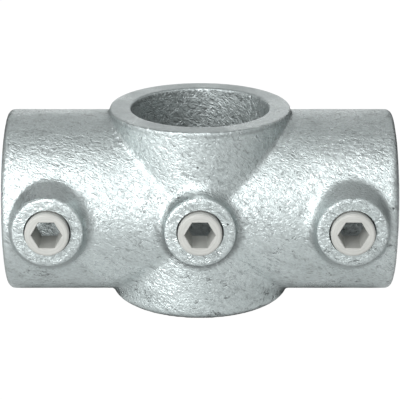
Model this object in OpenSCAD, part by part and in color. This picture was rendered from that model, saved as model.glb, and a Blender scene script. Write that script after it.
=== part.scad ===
// Cross tube clamp fitting: an upright sleeve crossed by two sockets on one axis,
// cast in one piece, with a set screw in a round boss on the front of each.
// The origin is where the axes cross. X runs along the sockets, Z up the sleeve,
// and the screws face -Y.

/* [Tube] */
// Outer diameter of the tubes that are clamped
tube_d = 42.4; // [33.7:0.1:48.3]
// Play between a tube and its bore, across the diameter
tube_play = 0.7; // [0.3:0.1:1.5]

/* [Sleeve and sockets] */
// Wall of the two sockets
socket_wall = 7.0; // [5:0.1:9]
// How much thinner the upright sleeve's wall is than the sockets' wall
wall_step = 0.2; // [0.2:0.1:2]
// How far a tube goes into a socket before its stop
socket_depth = 34.6; // [32:0.1:60]
// Metal between a socket's stop and the upright bore
stop_wall = 4.5; // [3:0.5:10]
// Diameter of the opening that joins each socket to the upright bore
neck_d = 20; // [10:0.5:21]
// How far each rim of the upright sleeve stands out past the sockets
rim_rise = 1.8; // [1.2:0.1:8]

/* [Bosses] */
// Diameter of a screw boss
boss_d = 22.0; // [20:0.1:24]
// Height of a boss above the front of its socket
boss_height = 3.5; // [3:0.1:8]
// Distance from a socket's open end to the edge of its boss
boss_margin = 3.5; // [3:0.1:10]
// How far the flared foot of a side boss spreads towards the upright sleeve
foot_inward = 4.2; // [1:0.1:6]
// How far that foot spreads towards the open end
foot_outward = 1.4; // [0.5:0.1:2]
// How far that foot spreads above and below the boss
foot_sideways = 3.5; // [1:0.1:5]

/* [Set screws] */
// Diameter of a set screw over its thread
screw_d = 13.8; // [12:0.1:15]
// Radial clearance between a set screw and its tapped hole
screw_clearance = 0.1; // [0.05:0.01:0.3]
// How far a set screw stands out of its boss
screw_proud = 2.3; // [0.5:0.1:4]
// How far a set screw's point stays short of the bore wall
screw_gap = 1.5; // [0.5:0.1:3]
// Hexagon key size, across flats
key_af = 8; // [5:0.5:9]
// Radial gap between a set screw and the plain mouth of its hole
mouth_gap = 0.4; // [0.2:0.05:0.8]
// Depth of the plain mouth
mouth_depth = 1.5; // [0.5:0.1:3]

/* [Edges] */
// Radius of the fillet between the upright sleeve and the sockets, at the front and back
saddle_fillet = 3.6; // [2:0.1:6]
// Radius of the same fillet at the sides, next to the sleeve's rims
rim_fillet = 1.2; // [0.8:0.1:2]
// Width of the soft edge where a flared foot runs out on its socket
foot_soft = 1.0; // [0.3:0.1:1.2]
// Radius of the fillet at the sides of the centre boss
centre_fillet = 2.2; // [1:0.1:3]
// Radius of the fillet above and below the centre boss
crown_fillet = 3.6; // [2:0.1:5]
// Rounding of a socket's outer end
end_round = 3.0; // [1:0.1:4]
// Rounding of a boss's outer edge
boss_round = 0.8; // [0.5:0.1:2]
// Rounding of the upright sleeve's upper rim
rim_round = 0.5; // [0.3:0.1:1.5]
// Rounding of the upright sleeve's lower rim
base_round = 3.0; // [0.5:0.1:4]
// Chamfer at the mouth of each bore
mouth_chamfer = 0.8; // [0.3:0.1:1.5]
// Chamfer at both ends of a set screw
screw_chamfer = 1.2; // [0.2:0.1:1.4]

/* [Hidden] */
$fn = 96;
bore_r = (tube_d + tube_play) / 2;
socket_r = bore_r + socket_wall;
upright_r = socket_r - wall_step;
upright_len = 2 * (socket_r + rim_rise);
stop_x = bore_r + stop_wall;
overall_len = 2 * (stop_x + socket_depth);
neck_r = neck_d / 2;
boss_r = boss_d / 2;
boss_face = socket_r + boss_height;
boss_x = overall_len / 2 - boss_margin - boss_r;
screw_r = screw_d / 2;
hole_r = screw_r + screw_clearance;
screw_face = boss_face + screw_proud;
screw_len = screw_face - bore_r - screw_gap;
key_r = key_af / sqrt(3);
// How far a cutting shape runs past the face that it cuts
cut_past = 1;
// How far a fillet's feet lie under the surfaces that they blend
fillet_seat = 0.2;
// How far the back of a fillet lies inside the metal
fillet_root = 1.2;
// Steps round the fillets and the flared feet, and across an arc
saddle_steps = 64;
boss_steps = 36;
foot_steps = 60;
arc_steps = 5;
// Passes that bring a fillet's ball to rest against a rounded edge
settle_passes = 6;

// Radius of the fillet's ball at angle a, which changes smoothly from radii[0] along X to radii[1] along Y
function ball_radius(a, radii) = radii[0] * pow(cos(a), 2) + radii[1] * pow(sin(a), 2);

// How far the ball's centre lies from a branch's axis at height z. The branch's outer edge has a
// rounding of radius edge[0], which starts at the height edge[1].
function ball_reach(z, branch_r, ball_r, edge) =
    z <= edge[1]
        ? branch_r + ball_r
        : branch_r - edge[0] + sqrt(max(pow(edge[0] + ball_r, 2) - pow(z - edge[1], 2), 0));

// Centre of the ball that rolls round the foot of a branch, at angle a round the branch's axis Z.
// It touches a main cylinder of radius main_r along X, and the branch or its rounded edge.
function ball_centre(a, branch_r, main_r, ball_r, edge, reach, passes) =
    let (
        y = reach * sin(a),
        z = sqrt(pow(main_r + ball_r, 2) - y * y)
    )
    passes == 0
        ? [reach * cos(a), y, z]
        : ball_centre(a, branch_r, main_r, ball_r, edge,
                      ball_reach(z, branch_r, ball_r, edge), passes - 1);

// Direction from the ball's centre to where it touches the branch or its rounded edge
function to_branch(a, c, branch_r, edge) =
    let (
        away = norm([c[0], c[1]]) - branch_r + edge[0],
        above = max(c[2] - edge[1], 0)
    )
    -[away * cos(a), away * sin(a), above] / norm([away, above]);

// Direction from the ball's centre to where it touches the main cylinder
function to_main(c) = -[0, c[1], c[2]] / norm([0, c[1], c[2]]);

// Direction a share t of the way round the arc from u to v
function along_arc(u, v, t) =
    let (g = acos(u * v))
    (sin((1 - t) * g) * u + sin(t * g) * v) / sin(g);

// Outline of a fillet where its ball is at c: its foot towards u, the arc, its foot towards v,
// and a root inside the metal
function ball_section(c, ball_r, u, v) =
    let (
        half_angle = acos(u * v) / 2,
        mid = along_arc(u, v, 1 / 2)
    )
    [
        c + (ball_r + fillet_seat) * u,
        for (k = [1 : arc_steps - 1]) c + ball_r * along_arc(u, v, k / arc_steps),
        c + (ball_r + fillet_seat) * v,
        c + (ball_r / cos(half_angle) + fillet_root) * mid
    ];

// Outline of the fillet at angle a round a branch
function branch_section(a, branch_r, main_r, radii, edge) =
    let (
        ball_r = ball_radius(a, radii),
        c = ball_centre(a, branch_r, main_r, ball_r, edge, branch_r + ball_r, settle_passes)
    )
    ball_section(c, ball_r, to_branch(a, c, branch_r, edge), to_main(c));

// Ring that runs through equal outlines in order and closes on itself
module outline_ring(outlines) {
    steps = len(outlines);
    side = len(outlines[0]);
    faces = [
        for (i = [0 : steps - 1], k = [0 : side - 1])
            let (
                here = i * side,
                next = ((i + 1) % steps) * side,
                up = (k + 1) % side
            )
            each [
                [here + k, next + k, next + up],
                [here + k, next + up, here + up]
            ]
    ];
    polyhedron([for (outline = outlines) each outline], faces);
}

// Rolling-ball fillet between a branch along +Z and a main cylinder along X
module rolling_fillet(branch_r, main_r, radii, edge, steps) {
    outline_ring([
        for (i = [0 : steps - 1])
            branch_section(360 * i / steps, branch_r, main_r, radii, edge)
    ]);
}

// Solid of revolution about Z, from z0 to z1, with rounded outer edges at the ends
module round_bar(r, z0, z1, low_round, high_round) {
    rotate_extrude()
        difference() {
            translate([0, z0])
                square([r, z1 - z0]);
            corner_cut(r, z0, low_round, 1);
            corner_cut(r, z1, high_round, -1);
        }
}

// What a rounded edge takes off the corner of a square profile at [r, z]
module corner_cut(r, z, edge_r, inward) {
    if (edge_r > 0)
        translate([r - edge_r, z + inward * edge_r])
            difference() {
                translate([0, inward > 0 ? -edge_r - cut_past : 0])
                    square([edge_r + cut_past, edge_r + cut_past]);
                circle(edge_r);
            }
}

// Points the shape's +Z along +X or -X
module along_x(side) {
    rotate([0, side * 90, 0])
        children();
}

// Points the shape's +Z out of the front, at a screw's place along X
module at_screw(x) {
    translate([x, 0, 0])
        rotate([90, 0, 0])
            children();
}

// Bore along Z from z0 to an open mouth at z1, with a chamfered mouth
module open_bore(r, z0, z1, chamfer) {
    translate([0, 0, z0])
        cylinder(r = r, h = z1 - z0 + cut_past);
    translate([0, 0, z1 - chamfer])
        cylinder(r1 = r, r2 = r + chamfer + cut_past, h = chamfer + cut_past);
}

// Boss with a rounded outer edge, rooted inside the wall
module boss() {
    round_bar(boss_r, bore_r, boss_face, 0, boss_round);
}

// Outer radius of a socket at a distance x from the middle, with its rounded end
function socket_radius(x) =
    let (past = max(x - overall_len / 2 + end_round, 0))
    socket_r - end_round + sqrt(max(pow(end_round, 2) - past * past, 0));

// Point on a socket's front, out from its screw's axis by r at angle a
function on_socket(a, r) =
    let (x = r * cos(a), y = r * sin(a))
    [x, y, sqrt(pow(socket_radius(boss_x - x), 2) - y * y)];

// How far a flared foot spreads at angle a, where 0 points towards the upright sleeve
function foot_spread(a) =
    (foot_inward + foot_outward) / 2 * pow(cos(a), 2) + foot_sideways * pow(sin(a), 2)
    + (foot_inward - foot_outward) / 2 * cos(a);

// Point a share t of the way along the arc that leaves p towards q and ends at r
function soft_point(p, q, r, t) = pow(1 - t, 2) * p + 2 * t * (1 - t) * q + t * t * r;

// Outline of a flared foot at angle a: a straight slope from the boss's edge to the socket, its
// soft run-out, and a root inside the metal
function foot_section(a) =
    let (
        inner_r = boss_r - fillet_seat,
        foot_r = boss_r + foot_spread(a),
        top = [inner_r * cos(a), inner_r * sin(a), boss_face - boss_round],
        foot = on_socket(a, foot_r),
        slope = (top - foot) / norm(top - foot),
        out = on_socket(a, foot_r + foot_soft)
    )
    [
        top,
        for (k = [0 : arc_steps - 1]) soft_point(foot + foot_soft * slope, foot, out, k / arc_steps),
        out - [0, 0, fillet_seat],
        on_socket(a, inner_r) - [0, 0, fillet_root]
    ];

// Flared foot of a side boss, which spreads further towards +X than towards -X
module flared_foot() {
    outline_ring([for (i = [0 : foot_steps - 1]) foot_section(360 * i / foot_steps)]);
}

// Fillets where the upright sleeve leaves the sockets, above and below
module saddles() {
    radii = [rim_fillet, saddle_fillet];
    rim = upright_len / 2;
    rolling_fillet(upright_r, socket_r, radii, [rim_round, rim - rim_round], saddle_steps);
    mirror([0, 0, 1])
        rolling_fillet(upright_r, socket_r, radii, [base_round, rim - base_round], saddle_steps);
}

// Outside of the casting before its bores are cut
module casting() {
    along_x(1)
        round_bar(socket_r, -overall_len / 2, overall_len / 2, end_round, end_round);
    round_bar(upright_r, -upright_len / 2, upright_len / 2, base_round, rim_round);
    saddles();
    at_screw(-boss_x) {
        boss();
        flared_foot();
    }
    at_screw(boss_x) {
        boss();
        mirror([1, 0, 0])
            flared_foot();
    }
    boss_edge = [boss_round, boss_face - boss_round];
    at_screw(0) {
        boss();
        rolling_fillet(boss_r, socket_r, [centre_fillet, centre_fillet], boss_edge, boss_steps);
        rotate([0, 0, 90])
            rolling_fillet(boss_r, upright_r, [crown_fillet, centre_fillet], boss_edge, boss_steps);
    }
}

// The casting: outside, upright bore, sockets with their stops and necks, and tapped holes
module cross_body() {
    color("silver")
        difference() {
            casting();
            open_bore(bore_r, 0, upright_len / 2, mouth_chamfer);
            mirror([0, 0, 1])
                open_bore(bore_r, 0, upright_len / 2, mouth_chamfer);
            for (side = [-1, 1])
                along_x(side) {
                    open_bore(bore_r, stop_x, overall_len / 2, mouth_chamfer);
                    cylinder(r = neck_r, h = stop_x + cut_past);
                }
            for (x = [-boss_x, 0, boss_x])
                at_screw(x) {
                    cylinder(r = hole_r, h = boss_face);
                    translate([0, 0, boss_face - mouth_depth])
                        cylinder(r = screw_r + mouth_gap, h = mouth_depth + cut_past);
                }
        }
}

// Set screw with chamfered ends and a hexagon socket right through it
module set_screw() {
    color("gainsboro")
        difference() {
            translate([0, 0, screw_face - screw_len])
                rotate_extrude()
                    polygon([
                        [0, 0],
                        [screw_r - screw_chamfer, 0],
                        [screw_r, screw_chamfer],
                        [screw_r, screw_len - screw_chamfer],
                        [screw_r - screw_chamfer, screw_len],
                        [0, screw_len]
                    ]);
            translate([0, 0, screw_face - screw_len - cut_past])
                cylinder(r = key_r, h = screw_len + 2 * cut_past, $fn = 6);
        }
}

module left_set_screw() {
    at_screw(-boss_x)
        set_screw();
}

module centre_set_screw() {
    at_screw(0)
        set_screw();
}

module right_set_screw() {
    at_screw(boss_x)
        set_screw();
}

cross_body();
left_set_screw();
centre_set_screw();
right_set_screw();
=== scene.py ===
"""Dresses a cross tube clamp fitting: one galvanised casting and its three hexagon-socket set screws.

Sizes of the fitting are in millimetres and become metres when a mesh is made. The studio and the values
inside node trees are in metres.
"""

import logging
import math
from collections.abc import Mapping, Sequence
from dataclasses import dataclass, field
from enum import Enum

import bpy
import numpy as np
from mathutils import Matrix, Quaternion, Vector


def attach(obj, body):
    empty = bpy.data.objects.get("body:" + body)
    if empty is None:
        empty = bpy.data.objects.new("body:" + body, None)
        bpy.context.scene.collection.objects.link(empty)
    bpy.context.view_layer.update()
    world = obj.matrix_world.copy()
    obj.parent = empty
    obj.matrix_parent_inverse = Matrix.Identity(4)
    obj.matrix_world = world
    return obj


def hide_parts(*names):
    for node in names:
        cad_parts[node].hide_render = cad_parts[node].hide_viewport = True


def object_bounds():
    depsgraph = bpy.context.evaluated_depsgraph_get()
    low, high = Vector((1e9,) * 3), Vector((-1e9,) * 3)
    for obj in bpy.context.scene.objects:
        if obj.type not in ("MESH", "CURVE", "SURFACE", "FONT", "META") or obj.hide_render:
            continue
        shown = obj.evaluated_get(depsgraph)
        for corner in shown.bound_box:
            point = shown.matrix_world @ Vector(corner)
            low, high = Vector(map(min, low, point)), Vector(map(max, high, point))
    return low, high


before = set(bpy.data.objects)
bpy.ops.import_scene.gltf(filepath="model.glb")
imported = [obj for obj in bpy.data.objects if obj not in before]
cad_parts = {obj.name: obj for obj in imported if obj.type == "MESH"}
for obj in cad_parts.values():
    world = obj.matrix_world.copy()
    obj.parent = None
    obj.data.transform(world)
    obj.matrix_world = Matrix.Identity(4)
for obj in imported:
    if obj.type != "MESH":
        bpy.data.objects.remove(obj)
CAD_BOX: tuple[Vector, Vector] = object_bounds()

log = logging.getLogger("cross_fitting")

MM = 0.001
TINY = 1e-9
MATT_ROUGHNESS = 0.9
Socket = bpy.types.NodeSocket
Feed = float | int | bool | Sequence[float] | Socket
Colour = tuple[float, float, float, float]
Array = np.ndarray


class Place(Enum):
    """Where a set screw sits along the sockets' axis, as a share of the side screws' distance."""

    LEFT = -1
    CENTRE = 0
    RIGHT = 1

    @property
    def node(self) -> str:
        """Name of the CAD node at this place."""
        return f"{self.name.lower()}_set_screw"

    @property
    def body(self) -> str:
        """Name of the moving body at this place."""
        return f"{self.name.lower()}_screw"


class Slot(Enum):
    """Material slots of the record."""

    ZINC = "zinc_casting"
    STEEL = "screw_steel"


@dataclass(frozen=True)
class Graph:
    """Adds nodes to one node tree and joins them.

    Attributes:
        tree: The shader or geometry node tree that is being built.
    """

    tree: bpy.types.NodeTree

    def node(self, kind: str, feeds: Mapping[str | int, Feed] | None = None,
             **settings: object) -> bpy.types.Node:
        """Adds a node.

        Args:
            kind: The node's type name.
            feeds: What goes into its sockets, by name or number.
            **settings: Properties of the node.

        Returns:
            The new node.
        """
        made = self.tree.nodes.new(kind)
        for name, value in settings.items():
            setattr(made, name, value)
        for key, value in (feeds or {}).items():
            self.feed(made.inputs[key], value)
        return made

    def feed(self, socket: Socket, value: Feed) -> None:
        """Links a socket to another one, or sets its value.

        Args:
            socket: The input socket.
            value: An output socket, or a plain value.
        """
        if isinstance(value, Socket):
            self.tree.links.new(value, socket)
        else:
            socket.default_value = value

    def math(self, operation: str, *values: Feed, clamp: bool = False) -> Socket:
        """Adds a Math node.

        Args:
            operation: The node's operation.
            *values: Its inputs in order.
            clamp: Whether the result is kept between 0 and 1.

        Returns:
            The result's socket.
        """
        made = self.node("ShaderNodeMath", dict(enumerate(values)), operation=operation, use_clamp=clamp)
        return made.outputs[0]

    def reach(self, a: Feed, b: Feed) -> Socket:
        """Adds the nodes for a distance from an axis.

        Args:
            a: Distance in one direction.
            b: Distance square to it.

        Returns:
            The socket of the distance from the axis.
        """
        return self.math("SQRT", self.math("ADD", self.math("MULTIPLY", a, a), self.math("MULTIPLY", b, b)))

    def attribute(self, label: str) -> Socket:
        """Value of a mesh attribute in a material."""
        return self.node("ShaderNodeAttribute", attribute_name=label).outputs["Fac"]

    def span(self, value: Feed, low: float, high: float, to_low: float = 0.0,
             to_high: float = 1.0) -> Socket:
        """Maps a range of a value smoothly to another range.

        Args:
            value: The value.
            low: Where the range starts.
            high: Where the range ends.
            to_low: Result at the start.
            to_high: Result at the end.

        Returns:
            The mapped value's socket.
        """
        made = self.node("ShaderNodeMapRange", {0: value, 1: low, 2: high, 3: to_low, 4: to_high},
                         interpolation_type="SMOOTHSTEP")
        return made.outputs[0]

    def blend(self, share: Feed, first: Feed, second: Feed) -> Socket:
        """Mixes two colours.

        Args:
            share: Share of the second colour.
            first: The first colour.
            second: The second colour.

        Returns:
            The mixed colour's socket.
        """
        made = self.node("ShaderNodeMix", {0: share, 6: first, 7: second},
                         data_type="RGBA", clamp_factor=True)
        return made.outputs[2]

    def noise(self, place: Feed, scale: Feed, detail: float = 2.0, rough: float = 0.5,
              warp: float = 0.0) -> Socket:
        """Adds a Noise Texture and gives its value.

        Args:
            place: Coordinates.
            scale: Waves for each metre.
            detail: Number of finer layers.
            rough: Strength of the finer layers.
            warp: Distortion.

        Returns:
            The noise value's socket.
        """
        made = self.node("ShaderNodeTexNoise", {"Vector": place, "Scale": scale, "Detail": detail,
                                                "Roughness": rough, "Distortion": warp})
        return made.outputs[0]


def new_paint(name: str) -> tuple[bpy.types.Material, Graph, bpy.types.NodeInputs]:
    """Makes a material with one Principled shader.

    Args:
        name: The material's name.

    Returns:
        The material, its graph and its shader's inputs.
    """
    made = bpy.data.materials.new(name)
    made.use_nodes = True
    return made, Graph(made.node_tree), made.node_tree.nodes["Principled BSDF"].inputs


def plain_grey(tone: float) -> Colour:
    """A grey of one tone."""
    return tone, tone, tone, 1.0


class Effect:
    """A shader node group with named inputs and outputs, built once and shared by materials."""

    def __init__(self, name: str, inputs: Mapping[str, float | None], outputs: Sequence[str]) -> None:
        """Makes an empty group.

        Args:
            name: The group's name.
            inputs: Each input's name and first value, where None makes it a vector.
            outputs: Names of the output values.
        """
        self.tree = bpy.data.node_groups.new(name, "ShaderNodeTree")
        for label, value in inputs.items():
            kind = "NodeSocketVector" if value is None else "NodeSocketFloat"
            made = self.tree.interface.new_socket(name=label, in_out="INPUT", socket_type=kind)
            if value is not None:
                made.default_value = value
        for label in outputs:
            self.tree.interface.new_socket(name=label, in_out="OUTPUT", socket_type="NodeSocketFloat")
        self.graph = Graph(self.tree)
        self.given = self.tree.nodes.new("NodeGroupInput").outputs
        self.result = self.tree.nodes.new("NodeGroupOutput").inputs

    def place(self, graph: Graph, **feeds: Feed) -> bpy.types.NodeOutputs:
        """Puts the group into a material.

        Args:
            graph: The material's graph.
            **feeds: What goes into the group's inputs.

        Returns:
            The group node's outputs.
        """
        return graph.node("ShaderNodeGroup", feeds, node_tree=self.tree).outputs


class Effects:
    """All the effects that the finishes share."""

    def __init__(self) -> None:
        """Builds every group once."""
        self.wrinkle = self._wrinkle()
        self.pits = self._pits()
        self.streaks = self._streaks()
        self.drift = self._drift()

    @staticmethod
    def _wrinkle() -> Effect:
        """Makes the small slanted folds of a zinc coat.

        Returns:
            The group.
        """
        made = Effect("zinc_wrinkle", {"Vector": None, "Scale": 900.0}, ["Height", "Fine"])
        g = made.graph
        turned = g.node("ShaderNodeMapping", {"Vector": made.given["Vector"], "Rotation": (0.15, 0.6, 0.1),
                                              "Scale": (2.1, 1.0, 1.0)}, vector_type="TEXTURE").outputs[0]
        broad = g.noise(turned, g.math("MULTIPLY", made.given["Scale"], 0.33), 2.0, 0.5, 0.6)
        folds = g.noise(turned, made.given["Scale"], 3.0, 0.55, 0.9)
        ridged = g.math("ABSOLUTE", g.math("SUBTRACT", folds, 0.5))
        fine = g.noise(turned, g.math("MULTIPLY", made.given["Scale"], 2.2), 2.0, 0.6, 0.3)
        sharp = g.math("MULTIPLY_ADD", ridged, -1.6, g.math("MULTIPLY", broad, 0.55))
        g.feed(made.result["Height"], g.math("MULTIPLY_ADD", fine, 0.32, sharp))
        g.feed(made.result["Fine"], g.span(fine, 0.34, 0.66))
        return made

    @staticmethod
    def _pits() -> Effect:
        """Makes scattered pin holes.

        Returns:
            The group.
        """
        made = Effect("pit_marks", {"Vector": None, "Scale": 320.0, "Share": 0.2, "Size": 0.11}, ["Mask"])
        g, at = made.graph, made.given["Vector"]
        bent = g.noise(at, 420.0)
        aside = g.node("ShaderNodeCombineXYZ", {
            0: g.math("MULTIPLY", bent, 1.6 * MM), 2: g.math("MULTIPLY", bent, -1.2 * MM)})
        moved = g.node("ShaderNodeVectorMath", {0: at, 1: aside.outputs[0]}, operation="ADD")
        cells = g.node("ShaderNodeTexVoronoi", {"Vector": moved.outputs[0], "Scale": made.given["Scale"]})
        draw = g.node("ShaderNodeSeparateColor", {0: cells.outputs["Color"]}).outputs[0]
        chosen = g.math("LESS_THAN", draw, made.given["Share"])
        away = g.math("DIVIDE", cells.outputs["Distance"], made.given["Size"])
        near = g.math("SUBTRACT", 1.0, away, clamp=True)
        g.feed(made.result["Mask"], g.math("MULTIPLY", g.math("MULTIPLY", near, 2.2, clamp=True), chosen))
        return made

    @staticmethod
    def _streaks() -> Effect:
        """Makes broken dark marks in rising rows, most of them low down, where the zinc ran off.

        Returns:
            The group.
        """
        made = Effect("dark_streaks", {"Vector": None, "Scale": 600.0, "Share": 0.57}, ["Mask"])
        g, at = made.graph, made.given["Vector"]
        drawn = g.node("ShaderNodeMapping", {"Vector": at, "Scale": (2.3, 1.0, 1.0),
                                             "Rotation": (0.0, -0.22, 0.0)}, vector_type="TEXTURE").outputs[0]
        runs = g.noise(drawn, made.given["Scale"], 3.0, 0.6, 0.5)
        breaks = g.noise(at, 1300.0, 2.0, 0.6)
        fields = g.span(g.noise(at, 46.0, 1.0, 0.4), 0.40, 0.54)
        thickest = (0.027, -0.028, -0.006)
        far = g.node("ShaderNodeVectorMath", {0: at, 1: thickest}, operation="DISTANCE").outputs["Value"]
        spread = g.math("MAXIMUM", fields, g.span(far, 0.005, 0.010, 1.0, 0.0))
        height = g.node("ShaderNodeSeparateXYZ", {0: at}).outputs[2]
        row = g.math("MULTIPLY", g.math("SUBTRACT", runs, made.given["Share"]), 12.0, clamp=True)
        dashes = g.math("MULTIPLY", row, g.span(breaks, 0.44, 0.56))
        low = g.math("MULTIPLY", spread, g.span(height, -0.006, 0.006, 1.0, 0.2))
        g.feed(made.result["Mask"], g.math("MULTIPLY", dashes, low))
        return made

    @staticmethod
    def _drift() -> Effect:
        """Makes a slow change of tone over a coat.

        Returns:
            The group.
        """
        made = Effect("tone_drift", {"Vector": None, "Scale": 55.0}, ["Factor"])
        g = made.graph
        slow = g.noise(made.given["Vector"], made.given["Scale"], 3.0, 0.55, 0.4)
        g.feed(made.result["Factor"], g.span(slow, 0.32, 0.68))
        return made


@dataclass(frozen=True)
class ZincFinish:
    """A hot-dipped zinc coat.

    Attributes:
        name: Name of the material.
        light: Colour of the clean coat.
        dull: Colour where the coat has gone matt.
        dark_tone: Colour of pits and streaks, and of the painted shade in creases and between wrinkles.
        scale: Wrinkles for each metre.
        relief: Height of the wrinkles, in millimetres.
        roughness: Least and most roughness.
        metallic: How much of the coat is bare metal.
        matt: Share of the dull colour that level faces, fine wrinkles and the drift of tone each bring.
        pit_share: Share of the pit cells that hold a pit.
        streak_share: Noise level above which a streak shows.
        shade_strength: Strength of the painted shade in creases and corners.
        groove: Strength of the painted shade between wrinkles.
        groove_top: Wrinkle height at which that shade ends.
        wear: Strength of the clean metal along edges.
        pit_dark: Strength of the pits.
        streak_dark: Strength of the streaks.
        mark_rough: Roughness that pits and streaks add.
        mark_depth: Depth of pits and streaks, as a share of the relief.
    """

    name: str
    light: Colour = (0.69, 0.76, 0.76, 1.0)
    dull: Colour = (0.46, 0.51, 0.51, 1.0)
    dark_tone: Colour = (0.075, 0.082, 0.083, 1.0)
    scale: float = 900.0
    relief: float = 0.32
    roughness: tuple[float, float] = (0.26, 0.42)
    metallic: float = 0.85
    matt: tuple[float, float, float] = (0.5, 0.5, 0.4)
    pit_share: float = 0.12
    streak_share: float = 0.56
    shade_strength: float = 0.66
    groove: float = 0.46
    groove_top: float = 0.36
    wear: float = 0.3
    pit_dark: float = 0.85
    streak_dark: float = 0.7
    mark_rough: float = 0.25
    mark_depth: float = 0.6

    def material(self, effects: Effects) -> bpy.types.Material:
        """Builds the material.

        Args:
            effects: The shared groups.

        Returns:
            The new material.
        """
        made, g, shader = new_paint(self.name)
        at = g.node("ShaderNodeTexCoord").outputs["Object"]
        hollow, ridge, level, folds = map(g.attribute, ("hollow", "ridge", "level", "folds"))
        drift = effects.drift.place(g, Vector=at)["Factor"]
        wrinkle = effects.wrinkle.place(g, Vector=at, Scale=self.scale)
        pits = effects.pits.place(g, Vector=at, Share=self.pit_share)["Mask"]
        streaks = effects.streaks.place(g, Vector=at, Share=self.streak_share)["Mask"]
        by_level, by_fine, by_drift = self.matt
        matt = g.math("MULTIPLY_ADD", level, by_level, g.math("MULTIPLY", wrinkle["Fine"], by_fine))
        coat = g.blend(g.math("MULTIPLY_ADD", drift, by_drift, matt, clamp=True), self.light, self.dull)
        # Painted shade between wrinkles: their low parts are darkened.
        valley = g.span(wrinkle["Height"], 0.0, self.groove_top, self.groove, 0.0)
        grooved = g.blend(g.math("MULTIPLY", valley, g.math("MINIMUM", folds, 1.0)), coat, self.dark_tone)
        worn = g.blend(g.math("MULTIPLY", ridge, self.wear, clamp=True), grooved, self.light)
        # Painted shade: creases, corners by the bosses, the line under the rim and the sockets' ends are
        # darkened towards the dark tone.
        creased = g.blend(g.math("MULTIPLY", hollow, self.shade_strength, clamp=True), worn, self.dark_tone)
        marks = g.math("MAXIMUM", g.math("MULTIPLY", pits, self.pit_dark),
                       g.math("MULTIPLY", streaks, self.streak_dark))
        g.feed(shader["Base Color"], g.blend(marks, creased, self.dark_tone))
        g.feed(shader["Metallic"], self.metallic)
        rough = g.span(drift, 0.0, 1.0, *self.roughness)
        g.feed(shader["Roughness"], g.math("MULTIPLY_ADD", marks, self.mark_rough, rough, clamp=True))
        raised = g.math("MULTIPLY", wrinkle["Height"], folds)
        sunk = g.math("MULTIPLY_ADD", marks, -self.mark_depth, raised)
        bump = g.node("ShaderNodeBump", {"Height": sunk, "Strength": 1.0, "Distance": self.relief * MM})
        g.feed(shader["Normal"], bump.outputs[0])
        return made


@dataclass(frozen=True)
class TurnedSteel:
    """Pale plated steel with the marks of a lathe on its end.

    Attributes:
        name: Name of the material.
        light: Colour of the clean face.
        dull: Colour of the plating's matt patches.
        dark_tone: Colour of small stains.
        pitch: Distance between two screws, in millimetres, so that the rings centre on each.
        ring: Distance between two turning marks, in millimetres.
        wobble: How far those marks run out of true, in radians of a ring.
        relief: Height of those marks, in millimetres.
        roughness: Least and most roughness.
        metallic: How much of the face is bare metal.
        matt: Share of the dull colour that the turning marks and the drift of tone each bring.
        stain: Strength and depth of the small stains.
    """

    name: str
    pitch: float
    light: Colour = (0.56, 0.57, 0.545, 1.0)
    dull: Colour = (0.46, 0.47, 0.445, 1.0)
    dark_tone: Colour = (0.20, 0.19, 0.18, 1.0)
    ring: float = 0.85
    wobble: float = 1.4
    relief: float = 0.02
    roughness: tuple[float, float] = (0.5, 0.62)
    metallic: float = 0.2
    matt: tuple[float, float] = (0.4, 0.4)
    stain: float = 0.5

    def material(self, effects: Effects) -> bpy.types.Material:
        """Builds the material.

        Args:
            effects: The shared groups.

        Returns:
            The new material.
        """
        made, g, shader = new_paint(self.name)
        at = g.node("ShaderNodeTexCoord").outputs["Object"]
        x, _, z = g.node("ShaderNodeSeparateXYZ", {0: at}).outputs
        half = self.pitch * MM / 2
        radius = g.reach(g.math("WRAP", x, half, -half), z)
        turn = g.math("MULTIPLY_ADD", g.noise(at, 260.0), self.wobble,
                      g.math("MULTIPLY", radius, math.tau / (self.ring * MM)))
        rings = g.math("MULTIPLY_ADD", g.math("SINE", turn), 0.5, 0.5)
        drift = effects.drift.place(g, Vector=at, Scale=150.0)["Factor"]
        pits = effects.pits.place(g, Vector=at, Scale=600.0, Share=0.05, Size=0.15)["Mask"]
        by_ring, by_drift = self.matt
        tone = g.math("MULTIPLY_ADD", rings, by_ring, g.math("MULTIPLY", drift, by_drift), clamp=True)
        face = g.blend(tone, self.light, self.dull)
        g.feed(shader["Base Color"], g.blend(g.math("MULTIPLY", pits, self.stain), face, self.dark_tone))
        g.feed(shader["Metallic"], self.metallic)
        g.feed(shader["Roughness"], g.span(tone, 0.0, 1.0, *self.roughness))
        height = g.math("MULTIPLY_ADD", pits, -self.stain, rings)
        bump = g.node("ShaderNodeBump", {"Height": height, "Strength": 0.7, "Distance": self.relief * MM})
        g.feed(shader["Normal"], bump.outputs[0])
        return made


def off_axis(a: Array, b: Array) -> Array:
    """Distances from an axis, kept just above 0 so that they can divide."""
    return np.hypot(a, b) + 1e-6


def round_union(a: Array, b: Array, radius: float | Array, lean: Array) -> Array:
    """Joins two distance fields with the fillet that a ball leaves as it rolls along both.

    Args:
        a: Distances to the first solid.
        b: Distances to the second solid.
        radius: Radius of the ball.
        lean: Cosine of the angle between the directions in which the two distances grow.

    Returns:
        Distances to the joined solid.
    """
    u, v = a - radius, b - radius
    touched = (u < lean * v) & (v < lean * u)
    flattest = 1e-4
    square = np.maximum(u * u + v * v - 2 * lean * u * v, 0) / np.maximum(1 - lean * lean, flattest)
    return np.where(touched, radius - np.sqrt(square), np.minimum(a, b))


def round_cut(a: Array, b: Array, radius: float) -> Array:
    """Keeps what two distance fields share, with a rounded edge.

    Args:
        a: Distances to the first solid.
        b: Distances to the second solid.
        radius: Radius of the edge.

    Returns:
        Distances to the shared solid.
    """
    edge = np.hypot(np.maximum(radius + a, 0), np.maximum(radius + b, 0))
    return np.minimum(-radius, np.maximum(a, b)) + edge


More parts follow.
